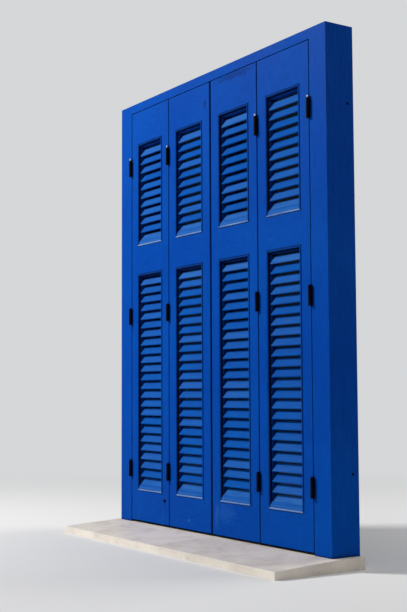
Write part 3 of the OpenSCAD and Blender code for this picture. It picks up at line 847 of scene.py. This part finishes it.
# %% Put the finials on
KNUCKLE_R = 6 * MM
TURN_PLAY = 0.3 * MM
PIN_HEAD_TOP = 3.5 * MM + TURN_PLAY
FINIAL = [(0, 0), (3.6 * MM, 0), (3.9 * MM, 0.8 * MM), (2.4 * MM, 1.8 * MM), (2.2 * MM, 2.4 * MM),
          (3.6 * MM, 3.8 * MM), (4.0 * MM, 5.2 * MM), (3.5 * MM, 6.6 * MM), (1.9 * MM, 7.8 * MM),
          (0, 8.2 * MM)]
BODY_OF_PINS = {"left_jamb": "outer_frame", "right_jamb": "outer_frame", "left_fold": "shutter_1",
                "right_fold": "shutter_4", "left_casement": "outer_frame",
                "right_casement": "outer_frame"}


def pin_tops(line):
    """The middle of each pin head's top on one line of hinges."""
    low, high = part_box(f"{line}_hinge_pins")
    flap_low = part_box(f"{line}_hinge_flaps")[0]
    y = high.y - KNUCKLE_R if low.y > 0 else low.y + KNUCKLE_R
    x = (low.x + high.x) / 2
    hinge_length = 2 * (flap_low.z - low.z - TURN_PLAY)
    first = low.z + hinge_length + PIN_HEAD_TOP
    return [Vector((x, y, z)) for z in (first, (first + high.z) / 2, high.z)]


finial = turned("finial", FINIAL, rubbed_and_highlit_iron, sides=16)
for line, body in BODY_OF_PINS.items():
    finials = repeated(f"{line}_finials", finial, pin_tops(line), rubbed_and_highlit_iron)
    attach(finials, body)
    print(finials.name, len(finials.data.polygons), "faces")
bpy.data.objects.remove(finial)

# %% [markdown]
# ## The knob on the first leaf
#
# Low on the first leaf is a small turned stud that a wall catch grips when the shutters are open.
# It is turned on the same lathe, then laid over so that it points out of the leaf.

# %% The catch stud
STUD = [(0, -0.5 * MM), (5.6 * MM, -0.5 * MM), (5.6 * MM, 0.6 * MM), (3.4 * MM, 1.2 * MM),
        (3.2 * MM, 2.2 * MM), (4.3 * MM, 3.4 * MM), (4.6 * MM, 4.8 * MM), (3.8 * MM, 6.2 * MM),
        (2.0 * MM, 7.1 * MM), (0, 7.4 * MM)]
STUD_PLACE = Vector((-0.317, 0, 0.136))

stud_shape = turned("stud_shape", STUD, hinge_iron, sides=20)
stud = repeated("shutter_1_catch_stud", stud_shape, [STUD_PLACE], hinge_iron,
                turn=(math.pi / 2, 0, 0))
bpy.data.objects.remove(stud_shape)
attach(stud, "shutter_1")
print(stud.name, "at", [round(c, 3) for c in STUD_PLACE])

# %% [markdown]
# ## The cremone's lever and screws
#
# On the room side the bolt is worked by a turned brass lever. It goes on the lathe in two parts: a
# spindle that comes out of the case, and the lever itself, which swells towards its end knob. The
# case, the guides and the keeps are held by slotted screws, which are one shape on many points.

# %% The lever
def laid_over(piece, turn, place):
    """Turns and moves a piece in its mesh, so that its object stays at the origin."""
    piece.data.transform(Matrix.Translation(place) @ turn)


def joined(name, pieces):
    """One object of several meshes."""
    shell = bmesh.new()
    for piece in pieces:
        shell.from_mesh(piece.data)
    mesh = bpy.data.meshes.new(name)
    shell.to_mesh(mesh)
    shell.free()
    mesh.materials.append(pieces[0].data.materials[0])
    for piece in pieces:
        bpy.data.objects.remove(piece)
    whole = bpy.data.objects.new(name, mesh)
    bpy.context.scene.collection.objects.link(whole)
    return whole


ALONG_Y = Matrix.Rotation(-math.pi / 2, 4, "X")
ALONG_X = Matrix.Rotation(math.pi / 2, 4, "Y")
handle_low, handle_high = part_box("cremone_handle")
KNOB_RADIUS, SPINDLE_RADIUS = 8 * MM, 7 * MM
lever_y = handle_high.y - KNOB_RADIUS
lever_z = (handle_low.z + handle_high.z) / 2
spindle_x = handle_low.x + SPINDLE_RADIUS
reach = handle_high.x - spindle_x

# Radius and height of each ring, in mm
SPINDLE = [(0, 0), (7, 0), (7, 21), (8.6, 22), (9.4, 24), (8.2, 26), (5.6, 28), (5.0, 33),
           (6.4, 37), (7.6, 41), (7.2, 45), (4.6, 48.4), (0, 49.4)]
LEVER = [(0, -9), (4.4, -8), (6.6, -4), (6.8, 3), (5.6, 9), (4.3, 16), (4.1, 24), (4.9, 40),
         (5.9, 58), (6.5, 74), (6.1, 86), (4.6, 94), (4.1, 97), (5.2, 99), (4.4, 101), (6.4, 104),
         (7.8, 109), (7.6, 113), (5.4, 116.4), (0, 117.9)]
spindle = turned("spindle", [(r * MM, h * MM) for r, h in SPINDLE], brass, sides=32)
laid_over(spindle, ALONG_Y, Vector((spindle_x, handle_low.y, lever_z)))
lever = turned("lever", [(r * MM, h * MM) for r, h in LEVER], brass, sides=32)
laid_over(lever, ALONG_X, Vector((spindle_x, lever_y, lever_z)))
handle = joined("cremone_lever", [spindle, lever])
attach(handle, "cremone_handle")
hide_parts("cremone_handle")
print(handle.name, "reaches", round(reach / MM), "mm from its spindle")

# %% The slotted screws
def slotted_screw(radius, material):
    """A domed head on the Z axis with a slot across it, its seat at the origin."""
    head = turned("screw", dome(radius, radius * 0.5, foot=-0.3 * MM), material, sides=18)
    cutter = bpy.data.objects.new("slot", bpy.data.meshes.new("slot"))
    shell = bmesh.new()
    bmesh.ops.create_cube(shell, size=1)
    bmesh.ops.scale(shell, vec=(3 * radius, 0.28 * radius, 0.5 * radius), verts=shell.verts)
    bmesh.ops.translate(shell, vec=(0, 0, radius * 0.46), verts=shell.verts)
    bmesh.ops.rotate(shell, matrix=Matrix.Rotation(0.5, 3, "Z"), verts=shell.verts)
    shell.to_mesh(cutter.data)
    shell.free()
    bpy.context.scene.collection.objects.link(cutter)
    cut = head.modifiers.new("slot", "BOOLEAN")
    cut.operation, cut.object, cut.solver = "DIFFERENCE", cutter, "EXACT"
    cut_head = head.evaluated_get(bpy.context.evaluated_depsgraph_get())
    mesh = bpy.data.meshes.new_from_object(cut_head)
    for old in (head, cutter):
        bpy.data.objects.remove(old)
    screw = bpy.data.objects.new("screw", mesh)
    bpy.context.scene.collection.objects.link(screw)
    return screw


GUIDE_DEPTH, CASE_DEPTH = 16 * MM, 20 * MM  # how far each stands out of the casement
CASE_SCREW, GUIDE_SCREW, KEEP_SCREW = 37 * MM, 9.6 * MM, 9.8 * MM  # from the middle to a screw
HALF_GUIDE, HALF_KEEP = 9 * MM, 12 * MM  # from a foot or a top to a screw
LOWEST_GUIDE, HIGHEST_GUIDE = 60 * MM, 78 * MM  # from the casement's foot and from its top

rod_x = spindle_x
frame_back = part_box("cremone_case")[0].y
casement_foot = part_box("right_casement_hinge_stile")[0].z
casement_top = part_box("right_casement_hinge_stile")[1].z
case_front = [Vector((rod_x, frame_back + CASE_DEPTH, lever_z + way * CASE_SCREW))
              for way in (-1, 1)]
guide_feet = [casement_foot + LOWEST_GUIDE, (casement_foot + lever_z) / 2,
              (casement_top + lever_z) / 2, casement_top - HIGHEST_GUIDE]
guide_front = [Vector((rod_x + side * GUIDE_SCREW, frame_back + GUIDE_DEPTH, foot + HALF_GUIDE))
               for foot in guide_feet for side in (-1, 1)]
keep_low, keep_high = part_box("cremone_keeps")
keep_front = [Vector((rod_x + side * KEEP_SCREW, keep_high.y, z)) for side in (-1, 1)
              for z in (keep_low.z + HALF_KEEP, keep_high.z - HALF_KEEP)]

screw = slotted_screw(2.4 * MM, brass)
for name, places, body in (("cremone_case_screws", case_front + guide_front, "right_casement"),
                           ("cremone_keep_screws", keep_front, "outer_frame")):
    screws = repeated(name, screw, places, brass, turn=(-math.pi / 2, 0, 0))
    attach(screws, body)
    print(name, len(places), "screws")
bpy.data.objects.remove(screw)

# %% [markdown]
#
# The window stands on its sill on a pale floor, which fades into the sky's colour far away, as a
# studio's curved backdrop does.

# %% Lay the floor
FLOOR_HALF = 30
FADE_START, FADE_END = 1.0, 4.0
floor = mesh_piece("floor", [(-FLOOR_HALF, -FLOOR_HALF, 0), (FLOOR_HALF, -FLOOR_HALF, 0),
                             (FLOOR_HALF, FLOOR_HALF, 0), (-FLOOR_HALF, FLOOR_HALF, 0)],
                   [(0, 1, 2, 3)], bpy.data.materials.new("pale_floor"))
sweep = floor.data.materials[0]
sweep.use_nodes = True
sweep.cycles.emission_sampling = "NONE"
tree = sweep.node_tree
near = tree.nodes["Principled BSDF"]
near.inputs["Base Color"].default_value = (0.66, 0.655, 0.645, 1)
near.inputs["Roughness"].default_value = 0.8
place = put(tree, "ShaderNodeTexCoord").outputs["Object"]
away = put(tree, "ShaderNodeVectorMath", {0: place}, operation="LENGTH").outputs["Value"]
far = put(tree, "ShaderNodeEmission", {"Color": SEEN_SKY_COLOUR, "Strength": SEEN_SKY_STRENGTH})
seen = put(tree, "ShaderNodeLightPath").outputs["Is Camera Ray"]
fade = maths(tree, "MULTIPLY", seen, ramp(tree, away, FADE_START, FADE_END))
fading = put(tree, "ShaderNodeMixShader", {"Fac": fade, 1: near.outputs[0], 2: far.outputs[0]})
tree.links.new(fading.outputs[0], tree.nodes["Material Output"].inputs["Surface"])
print("floor laid")
